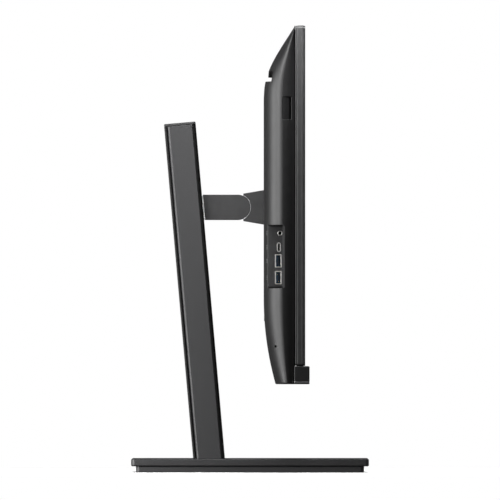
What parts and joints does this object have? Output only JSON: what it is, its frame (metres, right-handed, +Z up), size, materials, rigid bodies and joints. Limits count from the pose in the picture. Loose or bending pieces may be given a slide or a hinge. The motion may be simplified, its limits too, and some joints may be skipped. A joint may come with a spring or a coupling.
{
  "type": "all-in-one computer",
  "caption": "Flat-screen all-in-one desktop computer on a leaning column stand, with height and tilt adjustment, a side port panel and a speaker bar under the screen.",
  "frame": {"origin": "on the desk surface, under the middle of the base", "axes": "+Z up, the screen faces -Y, +X is to the right of a person who looks at the screen"},
  "size_m": [0.614, 0.258, 0.4825],
  "materials": {
    "base_coat": "matte dark powder coat",
    "ballast_steel": "matte black paint on steel",
    "foot_rubber": "matte black rubber",
    "screw_steel": "zinc-plated steel",
    "column_coat": "satin dark grey coat",
    "column_plastic": "fine-grained dark grey plastic",
    "die_casting": "raw die casting",
    "rail_steel": "ground steel rod",
    "spring_paint": "satin black paint",
    "carriage_zinc": "bright die casting",
    "bush_plastic": "off-white bearing plastic",
    "arm_plastic": "fine-grained dark grey plastic",
    "arm_casting": "dark grey coat on a casting",
    "hinge_steel": "bright spring steel",
    "frame_steel": "galvanised sheet steel",
    "cover_plastic": "fine-grained charcoal plastic",
    "cover_screw": "black oxide steel",
    "bezel_plastic": "satin charcoal plastic",
    "screen_glass": "black display glass, anti-glare",
    "panel_metal": "light guide and diffusers in a metal tray",
    "bar_plastic": "satin black plastic",
    "grille_plastic": "matte black plastic",
    "trim_plastic": "satin grey plastic",
    "speaker_plastic": "matte black plastic",
    "circuit_board": "green solder mask",
    "storage_board": "blue solder mask",
    "antenna_film": "white foil",
    "heat_copper": "bare copper",
    "fan_plastic": "black plastic",
    "panel_plastic": "fine-grained grey plastic",
    "port_metal": "nickel-plated steel",
    "tongue_plastic": "dark blue plastic",
    "socket_plastic": "black plastic",
    "camera_plastic": "black plastic and lens",
    "shutter_plastic": "red plastic",
    "button_plastic": "satin dark grey plastic"
  },
  "bodies": {
    "stand": {"base_plate": "base_coat", "ballast_plate": "ballast_steel", "base_feet": "foot_rubber", "base_screws": "screw_steel", "column_shell": "column_coat", "column_rear_cover": "column_plastic", "column_cap": "column_plastic", "column_foot": "die_casting", "rail_bridge": "die_casting", "guide_rails": "rail_steel", "gas_spring_cylinder": "spring_paint"},
    "lift": {"gas_spring_rod": "rail_steel", "lift_carriage": "carriage_zinc", "guide_bushes": "bush_plastic", "arm_body": "arm_casting", "arm_cover_left": "arm_plastic", "arm_cover_right": "arm_plastic", "arm_screws": "screw_steel", "hinge_pin": "screw_steel"},
    "head": {"friction_washers": "screw_steel", "tilt_bracket": "arm_casting", "hinge_liner": "hinge_steel", "mount_screws": "screw_steel", "mount_frame": "frame_steel", "rear_cover": "cover_plastic", "cover_screws": "cover_screw", "front_bezel": "bezel_plastic", "screen_glass": "screen_glass", "backlight_module": "panel_metal", "speaker_bar": "bar_plastic", "speaker_grille": "grille_plastic", "bar_trim": "trim_plastic", "speaker_left": "speaker_plastic", "speaker_right": "speaker_plastic", "chassis_plate": "frame_steel", "motherboard": "circuit_board", "memory_modules": "circuit_board", "ssd_module": "storage_board", "wifi_card": "circuit_board", "antennas": "antenna_film", "heat_spreader": "heat_copper", "fan_housing": "fan_plastic", "side_board": "circuit_board", "side_port_panel": "panel_plastic", "audio_jack": "port_metal", "usb_c_port": "port_metal", "usb_a_shell_upper": "port_metal", "usb_a_shell_lower": "port_metal", "usb_a_tongue_upper": "tongue_plastic", "usb_a_tongue_lower": "tongue_plastic", "card_reader": "socket_plastic", "rear_port_tray": "socket_plastic", "power_jack": "socket_plastic", "network_port": "port_metal", "video_port": "port_metal", "rear_usb_ports": "port_metal", "webcam_module": "camera_plastic"},
    "shutter": {"webcam_shutter": "shutter_plastic"},
    "button": {"power_button": "button_plastic"},
    "fan": {"fan_impeller": "fan_plastic"}
  },
  "joints": [
    {"name": "height_slide", "type": "slide", "parent": "stand", "child": "lift", "axis": [0, 0.0872, 0.9962], "range_m": [-0.065, 0.06]},
    {"name": "screen_tilt", "type": "hinge", "parent": "lift", "child": "head", "pos_m": [0, 0.0133, 0.2885], "axis": [-1, 0, 0], "range_deg": [-5, 20]},
    {"name": "shutter_slide", "type": "slide", "parent": "head", "child": "shutter", "axis": [1, 0, 0], "range_m": [0, 0.0065]},
    {"name": "power_button_press", "type": "slide", "parent": "head", "child": "button", "axis": [0, 1, 0], "range_m": [0, 0.0008], "stiffness_N_per_m": 1500},
    {"name": "fan_spin", "type": "hinge", "parent": "head", "child": "fan", "pos_m": [0.02, -0.036, 0.389], "axis": [0, 1, 0], "continuous": true}
  ]
}
